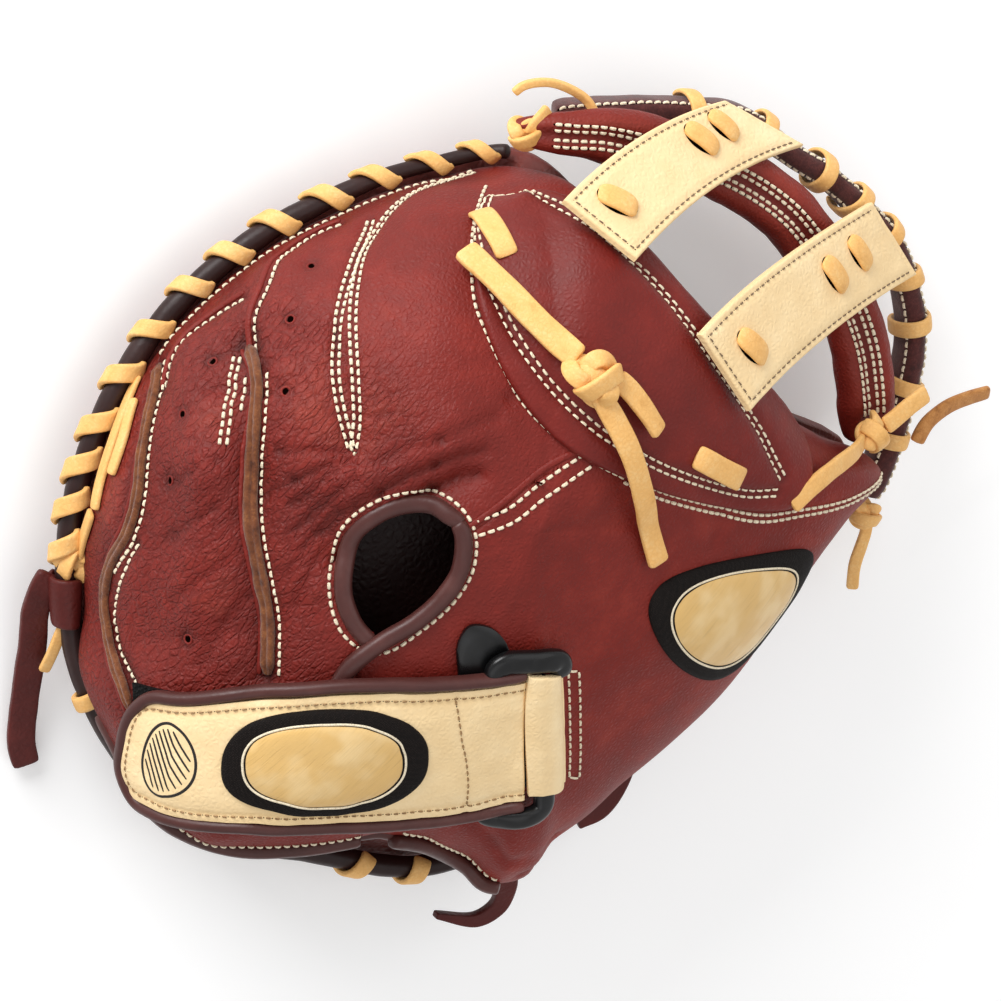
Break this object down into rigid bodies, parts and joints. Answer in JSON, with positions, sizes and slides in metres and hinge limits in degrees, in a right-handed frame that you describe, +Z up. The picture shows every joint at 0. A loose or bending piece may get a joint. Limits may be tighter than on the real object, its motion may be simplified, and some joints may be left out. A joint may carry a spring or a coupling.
{
  "type": "softball catcher mitt",
  "caption": "Left-hand softball catcher mitt: padded laced palm, two back panels, almond crotch pad, open web with cream straps, closed wrist strap.",
  "frame": {"origin": "middle of the box's base, on the surface the rim rests on", "axes": "+X from the wrist to the web, +Y to the finger side, +Z up, out of the back of the hand"},
  "size_m": [0.3321, 0.2678, 0.119],
  "materials": {
    "maroon_leather": "satin, fine grain with soft creases",
    "pad_leather": "satin, darker red brown",
    "palm_leather": "satin, smooth padded",
    "cream_leather": "pebbled, satin",
    "brown_binding": "smooth rolled binding",
    "raw_edge_suede": "raw cut edge, rough",
    "tan_lace": "rawhide lace, matte",
    "black_plastic": "moulded, satin",
    "hook_pile": "hook and loop, matte",
    "gold_patch": "padded, smooth, dark edge"
  },
  "bodies": {
    "root": {"finger_back": "maroon_leather", "thumb_back": "maroon_leather", "web_inner_roll": "maroon_leather", "crotch_pad": "pad_leather", "web_outer_band": "pad_leather", "heel_loop": "pad_leather", "heel_tail": "pad_leather", "thumb_heel_tie": "pad_leather", "wrist_hook_tab": "pad_leather", "palm_pad": "palm_leather", "web_strap_upper": "cream_leather", "web_strap_lower": "cream_leather", "wrist_strap": "cream_leather", "buckle_tab": "cream_leather", "rim_welt": "brown_binding", "hole_binding_finger": "brown_binding", "hole_binding_thumb": "brown_binding", "strap_binding": "brown_binding", "wrist_binding_finger": "brown_binding", "wrist_binding_thumb": "brown_binding", "ring_seam": "raw_edge_suede", "little_seam": "raw_edge_suede", "lace_loop_01": "tan_lace", "lace_loop_02": "tan_lace", "lace_loop_03": "tan_lace", "lace_loop_04": "tan_lace", "lace_loop_05": "tan_lace", "lace_loop_06": "tan_lace", "lace_loop_07": "tan_lace", "lace_loop_08": "tan_lace", "lace_loop_09": "tan_lace", "lace_loop_10": "tan_lace", "lace_loop_11": "tan_lace", "lace_loop_12": "tan_lace", "lace_loop_13": "tan_lace", "lace_loop_14": "tan_lace", "lace_loop_15": "tan_lace", "lace_loop_16": "tan_lace", "lace_loop_17": "tan_lace", "lace_loop_18": "tan_lace", "lace_loop_19": "tan_lace", "lace_loop_20": "tan_lace", "crotch_lace": "tan_lace", "crotch_knot": "tan_lace", "crotch_tail_long": "tan_lace", "crotch_tail_short": "tan_lace", "web_knot_right": "tan_lace", "web_knot_tail_in": "tan_lace", "web_knot_tail_out": "tan_lace", "web_knot_top": "tan_lace", "web_tail_top": "tan_lace", "web_knot_low": "tan_lace", "web_tail_low": "tan_lace", "web_tail_outer": "tan_lace", "heel_tail_thin": "tan_lace", "strap_buckle": "black_plastic", "hook_patch": "hook_pile", "strap_patch": "gold_patch", "thumb_patch": "gold_patch"}
  },
  "joints": []
}
